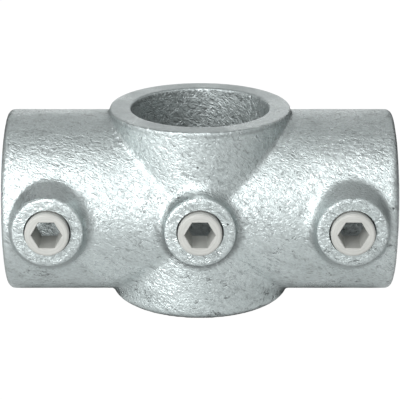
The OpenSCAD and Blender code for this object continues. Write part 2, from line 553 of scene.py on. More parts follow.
def rounded_bar(reach: Array, along: Array, radius: float, length: float, edge: float) -> Array:
    """Distances to a round bar with a rounded end.

    Args:
        reach: Distance from the bar's axis.
        along: Distance along the axis towards the end.
        radius: The bar's radius.
        length: Where its end is.
        edge: Rounding of the end.

    Returns:
        Distances to the bar.
    """
    side, end = reach - (radius - edge), along - (length - edge)
    return np.minimum(np.maximum(side, end), 0) + np.hypot(np.maximum(side, 0), np.maximum(end, 0)) - edge


def rounded_end(reach: Array, along: Array, radius: float, length: float,
                edge: float) -> tuple[Array, Array, Array]:
    """Distances to a rounded bar with the direction in which they grow.

    Args:
        reach: Distance from the bar's axis.
        along: Distance along the axis towards the end.
        radius: The bar's radius.
        length: Where its end is.
        edge: Rounding of the end.

    Returns:
        Distances to the bar, and the parts of their direction away from the axis and along it.
    """
    side, end = np.maximum(reach - (radius - edge), 0), np.maximum(along - (length - edge), 0)
    size = np.hypot(side, end) + TINY
    return rounded_bar(reach, along, radius, length, edge), np.where(end > 0, side / size, 1), end / size


@dataclass(frozen=True)
class CastingShape:
    """Sizes of the casting and its distance field, in millimetres.

    Attributes:
        bore_r: Radius of the tube bores.
        socket_r: Outer radius of the sockets.
        upright_r: Outer radius of the upright sleeve.
        half_len: Half the length over both sockets.
        half_height: Half the height of the upright sleeve.
        stop_x: Where a tube stops in its socket.
        neck_r: Radius of the opening behind the stop.
        boss_r: Radius of a boss.
        boss_face: Distance of a boss's face from the axes.
        boss_x: Distance of a side boss from the middle.
        hole_r: Radius of a screw hole.
        mouth_r: Radius of its plain mouth.
        mouth_depth: Depth of its plain mouth.
        end_round: Rounding of the sockets' ends.
        rim_round: Rounding of the upright sleeve's upper rim.
        base_round: Rounding of its lower rim.
        boss_round: Rounding of a boss's edge.
        saddle_fillet: Fillet between the sleeve and the sockets, at the front and back.
        rim_fillet: The same fillet at the sides, next to the rims.
        foot_inward: Spread of a side boss's flared foot towards the middle.
        foot_outward: Spread of that foot towards the open end.
        foot_sideways: Spread of that foot above and below.
        foot_seat: How far that foot reaches into its socket.
        foot_fillet: Fillet where that foot runs out on its socket, above and towards the middle.
        foot_turn: Share of that fillet on every side, and what is added above and towards the middle.
        under_fillet: The small fillet below every boss and towards the open ends.
        centre_fillet: Fillet at the sides of the centre boss.
        crown_fillet: Fillet above the centre boss.
        post_change: Width over which the centre boss's fillet changes from the sockets to the sleeve.
        bore_round: Rounding of the bores' mouths.
        shade_below: How far the shade below a boss reaches past it, and the width over which it fades.
        shade_above: The same for the shade above the centre boss.
        side_shade: Strength of that shade at a side boss.
    """

    bore_r: float = 21.55
    socket_r: float = 28.55
    upright_r: float = 28.35
    half_len: float = 60.65
    half_height: float = 30.35
    stop_x: float = 26.05
    neck_r: float = 10.0
    boss_r: float = 11.05
    boss_face: float = 32.05
    boss_x: float = 46.15
    hole_r: float = 6.85
    mouth_r: float = 7.1
    mouth_depth: float = 1.5
    end_round: float = 2.2
    rim_round: float = 0.5
    base_round: float = 3.0
    boss_round: float = 0.8
    saddle_fillet: float = 3.6
    rim_fillet: float = 1.2
    foot_inward: float = 1.6
    foot_outward: float = 1.0
    foot_sideways: float = 3.5
    foot_seat: float = 2.5
    foot_fillet: float = 4.8
    foot_turn: tuple[float, float, float] = (0.4, 0.6, 0.55)
    under_fillet: float = 0.8
    centre_fillet: float = 2.2
    crown_fillet: float = 4.6
    post_change: float = 3.0
    bore_round: float = 0.7
    shade_below: tuple[float, float] = (2.9, 1.2)
    shade_above: tuple[float, float] = (2.2, 2.0)
    side_shade: float = 0.55

    def outside(self, p: Array) -> Array:
        """Distances to the casting before anything is bored.

        Args:
            p: Points, one row each.

        Returns:
            One distance for each point.
        """
        x, y, z = p.T
        ring, post = off_axis(y, z), off_axis(x, y)
        sockets = rounded_bar(ring, np.abs(x), self.socket_r, self.half_len, self.end_round)
        upright, out, down = rounded_end(post, -z, self.upright_r, self.half_height, self.base_round)
        lean = out * y * y / (ring * post) - down * z / ring
        radius = self.saddle_fillet + (self.rim_fillet - self.saddle_fillet) * (x / post) ** 2
        solid = round_union(sockets, upright, radius, lean)
        solid = round_cut(solid, z - self.half_height, self.rim_round)
        on_post = np.clip((sockets - upright) / self.post_change + 0.5, 0, 1)
        everywhere, upward, inward = self.foot_turn
        for place in Place:
            dx = x - place.value * self.boss_x
            reach = off_axis(dx, z)
            boss, out, ahead = rounded_end(reach, -y, self.boss_r, self.boss_face, self.boss_round)
            boss = np.maximum(boss, y + self.bore_r / 2)
            if place is Place.CENTRE:
                lean = (on_post * (out * x * dx / (post * reach) - ahead * y / post)
                        + (1 - on_post) * (out * z * z / (ring * reach) - ahead * y / ring))
                ends = np.where(z > 0, self.crown_fillet, self.under_fillet)
                radius = ends + (self.centre_fillet - ends) * (dx / reach) ** 2
                solid = round_union(solid, boss, radius, np.where(y < 0, lean, 0))
            else:
                foot, lean = self.flared_foot(place, dx, y, z)
                share = np.clip(everywhere + (upward * z - inward * place.value * dx) / reach, 0, 1)
                radius = self.under_fillet + (self.foot_fillet - self.under_fillet) * share
                solid = np.minimum(round_union(solid, foot, radius, lean), boss)
        return solid

    def flared_foot(self, place: Place, dx: Array, y: Array, z: Array) -> tuple[Array, Array]:
        """The foot under a side boss, which spreads further towards the middle than towards the open end.

        Args:
            place: Which boss.
            dx: Distance along X from the boss's axis.
            y: The points' Y.
            z: The points' Z.

        Returns:
            Distances to the foot, and the cosine of its angle to the socket's surface.
        """
        top = self.boss_face - self.boss_round
        depth = y + top
        reach = off_axis(dx, z)
        inward, upward = -place.value * dx / reach, z / reach
        mean, skew = (self.foot_inward + self.foot_outward) / 2, (self.foot_inward - self.foot_outward) / 2
        spread = mean * inward ** 2 + self.foot_sideways * upward ** 2 + skew * inward
        drop = top - np.sqrt(self.socket_r ** 2 - ((self.boss_r + spread) * upward) ** 2)
        flare = spread / drop
        steep = np.hypot(1, flare)
        side = (reach - self.boss_r - flare * depth) / steep
        foot = np.maximum(np.maximum(side, -depth), depth - drop - self.foot_seat)
        lean = (z * upward - flare * y) / (steep * off_axis(y, z))
        most = 0.99
        return foot, np.clip(lean, -most, most)

    def on_foot(self, p: Array) -> Array:
        """How far points lie on the flared feet of the side bosses.

        Args:
            p: Points on the surface, one row each.

        Returns:
            1 on a foot and 0 away from it, for each point.
        """
        x, y, z = p.T
        fade, rim = 0.5, 1.0
        above = np.clip((np.hypot(y, z) - self.socket_r) / fade, 0, 1)
        feet = [self.flared_foot(place, x - place.value * self.boss_x, y, z)[0]
                for place in (Place.LEFT, Place.RIGHT)]
        near = np.clip(1.5 - np.abs(np.minimum(*feet)) / fade, 0, 1)
        return above * near * (y > rim - self.boss_face)

    def painted_boss_shade(self, p: Array) -> Array:
        """Painted shade in the narrow corner below a boss and above the centre boss.

        Args:
            p: Points on the surface, one row each.

        Returns:
            Strength of that painted shade for each point, 1 in the corner and 0 away from it.
        """
        x, y, z = p.T
        shade = np.zeros(len(p))
        for place in Place:
            dx = x - place.value * self.boss_x
            reach = off_axis(dx, z)
            # Painted shade, strongest below each boss and on a side boss's inner side, with a weaker band
            # above the centre boss.
            low = np.clip(0.45 - (z + 0.5 * place.value * dx) / reach, 0, 1)
            corner = low * self.beside_boss(reach, *self.shade_below)
            if place is Place.CENTRE:
                high = np.clip(1.2 * z / reach - 0.2, 0, 0.5) * np.clip(1 - dx / reach, 0, 1)
                corner = np.maximum(corner, high * self.beside_boss(reach, *self.shade_above))
            else:
                corner *= self.side_shade
            shade = np.maximum(shade, corner)
        return shade * (y > self.boss_round - self.boss_face) * (y < 0)

    def beside_boss(self, reach: Array, out: float, fade: float) -> Array:
        """1 next to a boss, fading to 0 a little way out from its side."""
        return np.clip((self.boss_r + out - reach) / fade, 0, 1)

    def bores(self, p: Array) -> Array:
        """Distances to the space inside the sleeve, the sockets and their necks.

        Args:
            p: Points, one row each.

        Returns:
            One distance for each point.
        """
        x, y, z = p.T
        reach = np.hypot(y, z)
        socket = np.maximum(reach - self.bore_r, self.stop_x - np.abs(x))
        neck = np.maximum(reach - self.neck_r, np.abs(x) - self.stop_x - self.bore_round)
        return np.minimum(np.hypot(x, y) - self.bore_r, np.minimum(socket, neck))

    def holes(self, p: Array) -> Array:
        """Distances to the space inside the screw holes.

        Args:
            p: Points, one row each.

        Returns:
            One distance for each point.
        """
        x, y, z = p.T
        found = np.full(len(p), np.inf)
        for place in Place:
            reach = np.hypot(x - place.value * self.boss_x, z)
            hole = np.maximum(reach - self.hole_r, y)
            mouth = np.maximum(reach - self.mouth_r, y + self.boss_face - self.mouth_depth)
            found = np.minimum(found, np.minimum(hole, mouth))
        return found

    def distance(self, p: Array) -> Array:
        """Distances to the finished casting, less than 0 inside.

        Args:
            p: Points, one row each.

        Returns:
            One distance for each point.
        """
        bored = round_cut(self.outside(p), -self.bores(p), self.bore_round)
        return np.maximum(bored, -self.holes(p))

    def normal(self, p: Array, step: float = 0.02) -> Array:
        """Outward directions at points on the surface.

        Args:
            p: Points, one row each.
            step: How far apart the field is sampled.

        Returns:
            One unit vector for each point.
        """
        slope = np.stack([self.distance(p + step * e) - self.distance(p - step * e) for e in np.eye(3)], 1)
        return slope / np.maximum(np.linalg.norm(slope, axis=1, keepdims=True), TINY)


@dataclass(frozen=True)
class Contour:
    """Turns a distance field into quads that keep its edges sharp.

    Attributes:
        step: Size of a cell.
        pull: How strongly a vertex is held near the middle of its cell's crossings.
        tries: How often a crossing is looked for more closely.
        guard: Least share of an edge that each of those tries cuts off.
        settle: Share of its distance from the surface by which a vertex moves at the end.
    """

    step: float = 0.76
    pull: float = 0.05
    tries: int = 5
    guard: float = 0.05
    settle: float = 0.9

    def quads(self, shape: CastingShape, low: Array, high: Array) -> tuple[Array, Array]:
        """Finds the surface inside a box.

        Args:
            shape: The shape with its distance field.
            low: Lowest corner of the box.
            high: Highest corner of the box.

        Returns:
            The vertices, and four vertex numbers for each quad.
        """
        axes = [np.arange(a, b + self.step, self.step) for a, b in zip(low, high)]
        count = np.array([len(a) for a in axes])
        grid = np.stack(np.meshgrid(*axes, indexing="ij"), -1).reshape(-1, 3)
        depth = shape.distance(grid).reshape(count)
        points, cells = [], []
        for axis in range(3):
            found, around = self._crossings(shape, depth, low, axis)
            points.append(found)
            cells.append(around)
        points, cells = np.concatenate(points), np.concatenate(cells)
        used, quads = np.unique(cells, return_inverse=True)
        quads = quads.reshape(cells.shape)
        corner = low + self.step * np.stack(np.unravel_index(used, count), 1)
        return self._settle(shape, points, quads, corner), quads

    def _crossings(self, shape: CastingShape, depth: Array, low: Array, axis: int) -> tuple[Array, Array]:
        """Finds where the grid's edges along one axis cross the surface.

        Args:
            shape: The shape with its distance field.
            depth: The field at the grid's points.
            low: Lowest corner of the grid.
            axis: The axis, 0 to 2.

        Returns:
            The crossings, and for each the numbers of the four cells round its edge.
        """
        inside = depth < 0
        last = depth.shape[axis] - 1
        start, end = np.take(inside, range(last), axis), np.take(inside, range(1, last + 1), axis)
        index = np.argwhere(start != end)
        ahead = np.eye(3, dtype=int)[axis]
        base = low + self.step * index
        f0, f1 = depth[tuple(index.T)], depth[tuple((index + ahead).T)]
        leaves = f0 < 0
        t0, t1 = np.zeros(len(index)), np.ones(len(index))
        for _ in range(self.tries):
            t = t0 + (t1 - t0) * np.clip(f0 / (f0 - f1), self.guard, 1 - self.guard)
            f = shape.distance(base + self.step * t[:, None] * ahead)
            same = (f < 0) == leaves
            t0, f0 = np.where(same, t, t0), np.where(same, f, f0)
            t1, f1 = np.where(same, t1, t), np.where(same, f1, f)
        t = t0 + (t1 - t0) * f0 / (f0 - f1)
        around = []
        for du, dv in ((-1, -1), (0, -1), (0, 0), (-1, 0)):
            cell = index.copy()
            cell[:, (axis + 1) % 3] += du
            cell[:, (axis + 2) % 3] += dv
            around.append(np.ravel_multi_index(tuple(cell.T), depth.shape))
        around = np.stack(around, 1)
        around[~leaves] = around[~leaves, ::-1]
        return base + self.step * t[:, None] * ahead, around

    def _settle(self, shape: CastingShape, points: Array, quads: Array, corner: Array) -> Array:
        """Puts one vertex in each cell where its crossings' tangent planes meet.

        Args:
            shape: The shape with its distance field.
            points: The crossings.
            quads: For each crossing the numbers of the cells round it.
            corner: Lowest corner of each cell.

        Returns:
            One vertex for each cell.
        """
        total = len(corner)
        normal = shape.normal(points)
        offset = np.einsum("ij,ij->i", normal, points)
        owner = quads.ravel()

        def gather(values: Array) -> Array:
            """Adds up one value over each cell's crossings."""
            return np.bincount(owner, np.repeat(values, 4), total)

        hits = gather(np.ones(len(points)))
        middle = np.stack([gather(points[:, i]) for i in range(3)], 1) / hits[:, None]
        planes = np.stack([[gather(normal[:, i] * normal[:, j]) for j in range(3)] for i in range(3)])
        planes = planes.transpose(2, 0, 1) + self.pull * np.eye(3)
        aims = np.stack([gather(normal[:, i] * offset) for i in range(3)], 1) + self.pull * middle
        vertex = np.linalg.solve(planes, aims[:, :, None])[:, :, 0]
        vertex = np.clip(vertex, corner, corner + self.step)
        return vertex - self.settle * shape.distance(vertex)[:, None] * shape.normal(vertex)


def plain_mesh(name: str, vertices: Array, faces: Array, crease: float) -> bpy.types.Mesh:
    """Makes a smooth mesh from millimetres.

    Args:
        name: The mesh's name.
        vertices: Points, one row each.
        faces: Vertex numbers of each face.
        crease: Degrees above which an edge stays sharp.

    Returns:
        The new mesh, in metres.
    """
    made = bpy.data.meshes.new(name)
    made.from_pydata((vertices * MM).tolist(), [], faces.tolist())
    made.validate()
    made.update()
    made.polygons.foreach_set("use_smooth", np.ones(len(made.polygons), bool))
    made.set_sharp_from_angle(angle=math.radians(crease))
    return made


def flat_panel(name: str, size: tuple[float, float], place: Vector, turn: Quaternion) -> bpy.types.Object:
    """Makes one rectangle for the studio.

    Args:
        name: Its name.
        size: Width and height, in metres.
        place: Its middle, in metres.
        turn: How it is turned from lying level.

    Returns:
        The panel's object.
    """
    w, h = size[0] / 2, size[1] / 2
    corners = [place + turn @ Vector(c) for c in ((-w, -h, 0), (w, -h, 0), (w, h, 0), (-w, h, 0))]
    data = bpy.data.meshes.new(name)
    data.from_pydata(corners, [], [(0, 1, 2, 3)])
    return add_object(name, data)


def add_object(name: str, data: bpy.types.ID | None) -> bpy.types.Object:
    """Makes an object at the origin and puts it into the scene.

    Args:
        name: The object's name.
        data: Its mesh, lamp or camera.

    Returns:
        The new object.
    """
    made = bpy.data.objects.new(name, data)
    bpy.context.scene.collection.objects.link(made)
    return made


class NodeShaper:
    """A Geometry Nodes tree with named inputs, run on an object and turned into a plain mesh."""

    def __init__(self, name: str, inputs: Mapping[str, tuple[str, object]]) -> None:
        """Makes an empty tree.

        Args:
            name: The tree's name.
            inputs: Each input's name with its socket type and first value.
        """
        self.tree = bpy.data.node_groups.new(name, "GeometryNodeTree")
        face = self.tree.interface
        face.new_socket(name="Geometry", in_out="INPUT", socket_type="NodeSocketGeometry")
        face.new_socket(name="Geometry", in_out="OUTPUT", socket_type="NodeSocketGeometry")
        self.keys: dict[str, str] = {}
        for label, (kind, value) in inputs.items():
            made = face.new_socket(name=label, in_out="INPUT", socket_type=kind)
            if value is not None:
                made.default_value = value
            self.keys[label] = made.identifier
        self.graph = Graph(self.tree)
        self.given = self.tree.nodes.new("NodeGroupInput").outputs
        self.result = self.tree.nodes.new("NodeGroupOutput").inputs

    def run(self, target: bpy.types.Object, values: Mapping[str, object]) -> None:
        """Runs the tree on an object and keeps only the plain mesh.

        Args:
            target: The object, whose mesh is replaced.
            values: Values of the tree's inputs by name.
        """
        modifier = target.modifiers.new(self.tree.name, "NODES")
        modifier.node_group = self.tree
        for label, value in values.items():
            modifier[self.keys[label]] = value
        target.data.update()
        bpy.context.view_layer.update()
        shown = target.evaluated_get(bpy.context.evaluated_depsgraph_get())
        made = bpy.data.meshes.new_from_object(shown)
        old = target.data
        target.modifiers.remove(modifier)
        target.data = made
        made.name = target.name
        bpy.data.meshes.remove(old)


@dataclass
class CastBody:
    """The galvanised casting.

    Attributes:
        shape: Its sizes.
        contour: How its surface is meshed.
        lump_scale: Waves for each metre of the coat's slow unevenness.
        lump_depth: How deep that unevenness goes, in millimetres.
        ripple_scale: Waves for each metre of the coat's orange peel.
        ripple_depth: How deep the orange peel goes, in millimetres.
        level_flat: How much weaker both are on level faces.
        seed: Seed of the unevenness.
        crease: Degrees above which an edge stays sharp.
        margin: Room round the casting where its surface is looked for, in cells.
        probes: Distances from the surface at which hollows are felt for, in millimetres.
        ridge_depth: Depth at which edges are felt for, in millimetres.
        hollow_shade: Strength of the painted shade in hollows.
        foot_shade: Strength of the painted shade on the feet of the side bosses.
        lip_shade: Strength of the painted shade in a line under the sleeve's upper rim.
        lip_drop: How far below the rim that line lies, in millimetres.
        end_shade: Strength of the painted shade at the sockets' ends.
        end_depth: How far in from the ends that shade reaches, in millimetres.
        fade: Width over which the painted shade of the line and the ends fades, in millimetres.
        bore_fade: Height over which the painted shade fades away down the sleeve's bore, in millimetres.
        level_edge: Depth below a level face that still counts as the face, in millimetres.
        face_edge: The same for a boss's face and a bore's wall.
        level_calm: How much weaker wrinkles are on level faces.
        foot_calm: How much weaker they are on the feet.
        face_folds: How much stronger they are on the bosses' faces.
        skin: Finish of the outside.
        inside: Finish of the bores, rougher and more pitted than the outside, with darker colours as painted
            shade.
    """

    shape: CastingShape = field(default_factory=CastingShape)
    contour: Contour = field(default_factory=Contour)
    lump_scale: float = 70.0
    lump_depth: float = 0.15
    ripple_scale: float = 330.0
    ripple_depth: float = 0.10
    level_flat: float = 0.8
    seed: float = 4.0
    crease: float = 42.0
    margin: float = 1.37
    probes: tuple[float, ...] = (1.0, 2.5, 4.5)
    ridge_depth: float = 1.2
    hollow_shade: float = 0.58
    foot_shade: float = 0.36
    lip_shade: float = 0.42
    lip_drop: float = 1.1
    end_shade: float = 0.5
    end_depth: float = 1.0
    fade: tuple[float, float] = (0.4, 0.5)
    bore_fade: float = 25.0
    level_edge: float = 0.15
    face_edge: float = 0.35
    level_calm: float = 0.65
    foot_calm: float = 0.45
    face_folds: float = 0.4
    skin: ZincFinish = ZincFinish("galvanised_skin")
    # The bores' coat has darker colours than the outside's: painted shade inside the bores.
    inside: ZincFinish = ZincFinish(
        "galvanised_bore", light=(0.60, 0.655, 0.655, 1.0), dull=(0.36, 0.395, 0.395, 1.0),
        scale=760.0, relief=0.6, roughness=(0.34, 0.5), pit_share=0.2, shade_strength=0.5)

    def traits(self, points: Array) -> dict[str, Array]:
        """Works out what the finishes read from the casting's surface.

        Args:
            points: Points on the surface, one row each.

        Returns:
            One value for each point, by attribute name: painted shade in hollows, on the side bosses' feet,
            by the bosses, under the upper rim and at the sockets' ends, bare edges, whether the point lies in
            a bore, whether it lies on a level face, and the strength of the wrinkles.
        """
        s = self.shape
        x, y, z = points.T
        normal = s.normal(points)
        # Painted shade: the coat is darkened in hollows, on the side bosses' feet, in the corners by the
        # bosses, in a line under the upper rim and at the sockets' ends.
        sunk = [np.clip((d - s.distance(points + d * normal)) / d, 0, 1) for d in self.probes]
        foot = s.on_foot(points)
        lip_fade, end_fade = self.fade
        lip = np.clip(1.6 - np.abs(s.half_height - self.lip_drop - z) / lip_fade, 0, 1)
        ends = np.clip((np.abs(x) - s.half_len + self.end_depth) / end_fade, 0, 1)
        hollow = np.maximum.reduce([
            self.hollow_shade * np.mean(sunk, 0), self.foot_shade * foot, s.painted_boss_shade(points),
            self.lip_shade * lip, self.end_shade * ends])
        ridge = np.clip(1 + s.distance(points - self.ridge_depth * normal) / self.ridge_depth, 0, 1)
        inner = np.minimum(np.abs(s.bores(points)), np.abs(s.holes(points)))
        bore = inner + self.face_edge < np.abs(s.outside(points))
        # Inside the sleeve's bore this painted shade fades away towards the bottom.
        deep = np.clip(0.3 + z / self.bore_fade, 0, 1)
        hollow = np.where(bore & (np.abs(x) < s.bore_r), hollow * deep, hollow)
        level = np.abs(z) > s.half_height - self.level_edge
        face = y < self.face_edge - s.boss_face
        folds = 1 - self.level_calm * level - self.foot_calm * foot + self.face_folds * face
        return {"hollow": hollow, "ridge": ridge, "bore": bore, "level": level, "folds": folds}

    def surface(self) -> bpy.types.Mesh:
        """Meshes the casting and stores what its finishes read.

        Returns:
            The mesh, before its coat is made uneven.
        """
        s = self.shape
        margin = self.margin * self.contour.step
        low = np.array([-s.half_len, -s.boss_face, -s.half_height]) - margin
        high = np.array([s.half_len, s.socket_r, s.half_height]) + margin
        points, quads = self.contour.quads(s, low, high)
        made = plain_mesh("cast_body", points, quads, self.crease)
        for label, values in self.traits(points).items():
            stored = made.attributes.new(label, "FLOAT", "POINT")
            stored.data.foreach_set("value", values.astype(np.float32))
        return made

    def coat(self) -> NodeShaper:
        """Builds the tree that makes the zinc uneven.

        Returns:
            The tree.
        """
        shaper = NodeShaper("cast_coat", {
            "Lump Scale": ("NodeSocketFloat", 70.0), "Lump Depth": ("NodeSocketFloat", 0.0002),
            "Ripple Scale": ("NodeSocketFloat", 330.0), "Ripple Depth": ("NodeSocketFloat", 0.0001),
            "Seed": ("NodeSocketFloat", 1.0),
            "Skin": ("NodeSocketMaterial", None), "Inside": ("NodeSocketMaterial", None)})
        g, given = shaper.graph, shaper.given
        where = g.node("GeometryNodeInputPosition").outputs[0]
        out = g.node("GeometryNodeInputNormal").outputs[0]

        def waves(layer: str, detail: float) -> Socket:
            """Adds one layer of noise that only sinks below the surface.

            Args:
                layer: First word of the inputs that hold its scale and depth.
                detail: Number of finer layers.

            Returns:
                The socket of its height, 0 or less.
            """
            made = g.node("ShaderNodeTexNoise", {
                "Vector": where, "W": given["Seed"], "Scale": given[f"{layer} Scale"], "Detail": detail},
                noise_dimensions="4D")
            low = g.math("SUBTRACT", made.outputs[0], 1.0)
            return g.math("MULTIPLY", low, given[f"{layer} Depth"])

        def trait(label: str) -> Socket:
            """Value of a mesh attribute in this tree."""
            return g.node("GeometryNodeInputNamedAttribute", {"Name": label}, data_type="FLOAT").outputs[0]

        calm = g.math("SUBTRACT", 1.0, g.math("MULTIPLY", trait("level"), self.level_flat))
        sink = g.math("ADD", waves("Lump", 1.0), waves("Ripple", 1.5))
        move = g.node("ShaderNodeVectorMath", {0: out}, operation="SCALE")
        g.feed(move.inputs["Scale"], g.math("MULTIPLY", sink, calm))
        moved = g.node("GeometryNodeSetPosition", {"Geometry": given["Geometry"], "Offset": move.outputs[0]})
        whole = g.node("GeometryNodeRealizeInstances", {"Geometry": moved.outputs[0]})
        skin = g.node("GeometryNodeSetMaterial", {"Geometry": whole.outputs[0], "Material": given["Skin"]})
        bored = g.math("GREATER_THAN", trait("bore"), 0.5)
        inside = g.node("GeometryNodeSetMaterial", {
            "Geometry": skin.outputs[0], "Selection": bored, "Material": given["Inside"]})
        g.feed(shaper.result["Geometry"], inside.outputs[0])
        return shaper

    def build(self, effects: Effects) -> bpy.types.Object:
        """Makes the casting and seats it in the frame.

        Args:
            effects: The shared groups.

        Returns:
            The casting's object.
        """
        made = add_object("zinc_cross_body", self.surface())
        self.coat().run(made, {
            "Lump Scale": self.lump_scale, "Lump Depth": self.lump_depth * MM,
            "Ripple Scale": self.ripple_scale, "Ripple Depth": self.ripple_depth * MM, "Seed": self.seed,
            "Skin": self.skin.material(effects), "Inside": self.inside.material(effects)})
        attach(made, "casting")
        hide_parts("cross_body")
        return made


@dataclass
class SetScrew:
    """A hexagon-socket set screw, made along +Z and turned to face -Y.

    Attributes:
        place: Where it sits.
        pitch_x: Distance between two screws.
        radius: Outer radius over the thread.
        core_r: Radius at the thread's root.
        face: Distance of its outer face from the axes.
        length: Its length.
        head: Length of the plain end above the thread.
        chamfer: Chamfer at both ends.
        soften: Width of the strips that soften the outer chamfer's two edges.
        soften_drop: How far the strip on the face falls.
        soften_side: How far the strip on the side stands back.
        run_out: Length over which the plain end runs down to the thread's root.
        crest_share: Height of the thread, as a share of the room for it.
        key_r: Radius of the hexagon at its corners.
        lead_in: Width of the small chamfer round the hexagon.
        thread_pitch: Rise of the thread in one turn.
        segments: Points round a ring, a multiple of 6.
        crease: Degrees above which an edge stays sharp.
    """

    place: Place
    pitch_x: float
    radius: float = 6.72
    core_r: float = 6.0
    face: float = 34.35
    length: float = 11.3
    head: float = 2.3
    chamfer: float = 0.38
    soften: float = 0.12
    soften_drop: float = 0.04
    soften_side: float = 0.1
    run_out: float = 0.5
    crest_share: float = 0.98
    key_r: float = 8.15 / math.sqrt(3)
    lead_in: float = 0.22
    thread_pitch: float = 2.0
    segments: int = 96
    crease: float = 28.0

    @property
    def angles(self) -> Array:
        """Directions of a ring's points."""
        return np.arange(self.segments) * math.tau / self.segments

    def ring(self, radius: float | Array, z: float) -> Array:
        """One ring of points at a height, with one radius or one for each point."""
        a = self.angles
        return np.stack([radius * np.cos(a), radius * np.sin(a), np.full_like(a, z)], 1)

    def hexagon(self, corner_r: float, z: float) -> Array:
        """One hexagonal ring of points at a height, with a corner on +X."""
        local = np.mod(self.angles, math.pi / 3) - math.pi / 6
        return self.ring(corner_r * math.cos(math.pi / 6) / np.cos(local), z)

    def core(self) -> bpy.types.Mesh:
        """Makes the screw without its thread, as rings up the hexagon, over the face and down the outside.

        Returns:
            The mesh.
        """
        top, foot, c, wide = self.face, self.face - self.length, self.chamfer, self.key_r + self.lead_in
        half = (wide + self.radius - c) / 2
        heights = [foot + self.lead_in, *(top - share * self.length for share in (0.75, 0.5, 0.25)),
                   top - self.lead_in]
        turned = [
            (half, top), (self.radius - c - self.soften, top), (self.radius - c, top - self.soften_drop),
            (self.radius - self.soften_side, top - c), (self.radius, top - c - self.soften),
            (self.radius, top - self.head), (self.core_r, top - self.head - self.run_out),
            (self.core_r, foot + c), (self.core_r - c, foot), (half, foot)]
        rings = [*(self.hexagon(self.key_r, z) for z in heights), self.hexagon(wide, top),
                 *(self.ring(radius, z) for radius, z in turned), self.hexagon(wide, foot)]
        here = np.arange(len(rings) * self.segments).reshape(-1, self.segments)
        onward = np.roll(here, -1, 0)
        faces = np.stack([here, onward, np.roll(onward, -1, 1), np.roll(here, -1, 1)], -1).reshape(-1, 4)
        return plain_mesh("screw_core", np.concatenate(rings), faces, self.crease)

    @staticmethod
    def threader() -> NodeShaper:
        """Builds the tree that winds a thread round a core and puts the screw in its place.

        Returns:
            The tree.
        """
        shaper = NodeShaper("wound_thread", {
            "Turns": ("NodeSocketFloat", 4.0), "Root Radius": ("NodeSocketFloat", 0.006),
            "Height": ("NodeSocketFloat", 0.008), "Start": ("NodeSocketFloat", 0.0),
            "Crest": ("NodeSocketFloat", 0.0008), "Place": ("NodeSocketVector", (0.0, 0.0, 0.0)),
            "Steel": ("NodeSocketMaterial", None)})
        g, given = shaper.graph, shaper.given
        helix = g.node("GeometryNodeCurveSpiral", {
            "Resolution": 48, "Rotations": given["Turns"], "Start Radius": given["Root Radius"],
            "End Radius": given["Root Radius"], "Height": given["Height"], "Reverse": False})
        ridge = g.node("GeometryNodeCurvePrimitiveCircle", {"Resolution": 4, "Radius": given["Crest"]})
        wound = g.node("GeometryNodeCurveToMesh", {
            "Curve": helix.outputs[0], "Profile Curve": ridge.outputs[0], "Fill Caps": True})
        lift = g.node("ShaderNodeCombineXYZ", {2: given["Start"]})
        raised = g.node("GeometryNodeTransform", {
            "Geometry": wound.outputs[0], "Translation": lift.outputs[0]})
        both = g.node("GeometryNodeJoinGeometry")
        g.feed(both.inputs[0], raised.outputs[0])
        g.feed(both.inputs[0], given["Geometry"])
        turned = g.node("GeometryNodeTransform", {
            "Geometry": both.outputs[0], "Translation": given["Place"], "Rotation": (math.pi / 2, 0.0, 0.0)})
        whole = g.node("GeometryNodeRealizeInstances", {"Geometry": turned.outputs[0]})
        steel = g.node("GeometryNodeSetMaterial", {"Geometry": whole.outputs[0], "Material": given["Steel"]})
        g.feed(shaper.result["Geometry"], steel.outputs[0])
        return shaper

    def build(self, threader: NodeShaper, steel: bpy.types.Material) -> bpy.types.Object:
        """Makes the screw and seats it in the frame.

        Args:
            threader: The tree that winds the thread.
            steel: The screw's material.

        Returns:
            The screw's object.
        """
        made = add_object(f"turned_{self.place.node}", self.core())
        crest = (self.radius - self.core_r) * self.crest_share
        foot = self.face - self.length + self.chamfer + crest
        rise = self.length - self.head - self.chamfer - self.run_out - 2 * crest
        threader.run(made, {
            "Turns": rise / self.thread_pitch, "Root Radius": self.core_r * MM, "Height": rise * MM,
            "Start": foot * MM, "Crest": crest * MM,
            "Place": (self.place.value * self.pitch_x * MM, 0.0, 0.0), "Steel": steel})
        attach(made, self.place.body)
        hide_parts(self.place.node)
        return made


@dataclass(frozen=True)
class Lamp:
    """A soft rectangular lamp that points at the fitting.

    Attributes:
        name: Its name.
        azimuth: Degrees to the right of the front, as seen from above.
        elevation: Degrees above the floor.
        distance: Metres from the fitting.
        size: Width and height in metres.
        power: Watts.
    """

    name: str
    azimuth: float
    elevation: float
    distance: float
    size: tuple[float, float]
    power: float

    def build(self) -> bpy.types.Object:
        """Makes the lamp.

        Returns:
            The lamp's object.
        """
        data = bpy.data.lights.new(self.name, "AREA")
        data.shape = "RECTANGLE"
        data.size, data.size_y = self.size
        data.energy = self.power
        made = add_object(self.name, data)
        a, e = math.radians(self.azimuth), math.radians(self.elevation)
        away = Vector((math.sin(a) * math.cos(e), -math.cos(a) * math.cos(e), math.sin(e)))
        made.location = away * self.distance
        made.rotation_euler = (-away).to_track_quat("-Z", "Y").to_euler()
        return made


